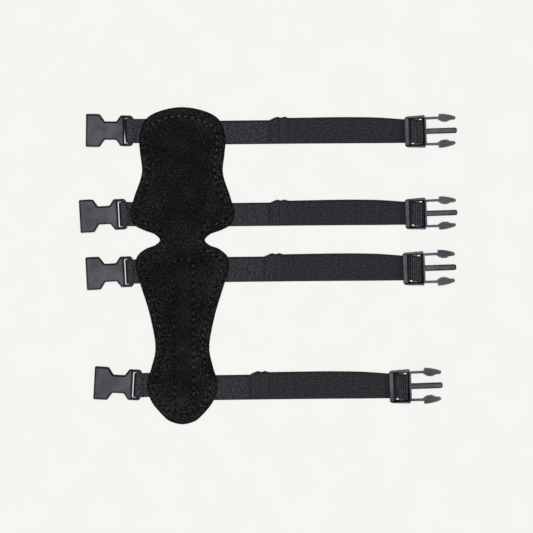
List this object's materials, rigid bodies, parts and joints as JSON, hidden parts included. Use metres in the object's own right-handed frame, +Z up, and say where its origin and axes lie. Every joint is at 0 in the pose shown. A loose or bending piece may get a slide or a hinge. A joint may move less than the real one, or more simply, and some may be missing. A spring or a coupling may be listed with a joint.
{
  "type": "arm guard",
  "caption": "Suede guard for the upper arm and forearm, laid flat, with a notch at the elbow, a sewn stay channel, and elastic straps that close round the arm with side release buckles.",
  "frame": {"origin": "on the panel's flat back, on its centreline and halfway along it", "axes": "+X across the arm towards the plug buckles, +Y along the arm towards the shoulder, +Z up out of the suede face"},
  "size_m": [0.3956, 0.3303, 0.0086],
  "materials": {
    "suede": "black suede, short nap",
    "webbing": "black ribbed elastic webbing",
    "buckle_plastic": "moulded acetal, satin"
  },
  "bodies": {
    "root": {"suede_panel": "suede", "upper_arm_tab": "webbing", "upper_arm_buckle_socket": "buckle_plastic", "upper_arm_strap": "webbing", "upper_arm_buckle_plug": "buckle_plastic", "above_elbow_tab": "webbing", "above_elbow_buckle_socket": "buckle_plastic", "above_elbow_strap": "webbing", "above_elbow_buckle_plug": "buckle_plastic", "below_elbow_tab": "webbing", "below_elbow_buckle_socket": "buckle_plastic", "below_elbow_strap": "webbing", "below_elbow_buckle_plug": "buckle_plastic", "wrist_tab": "webbing", "wrist_buckle_socket": "buckle_plastic", "wrist_strap": "webbing", "wrist_buckle_plug": "buckle_plastic"}
  },
  "joints": []
}
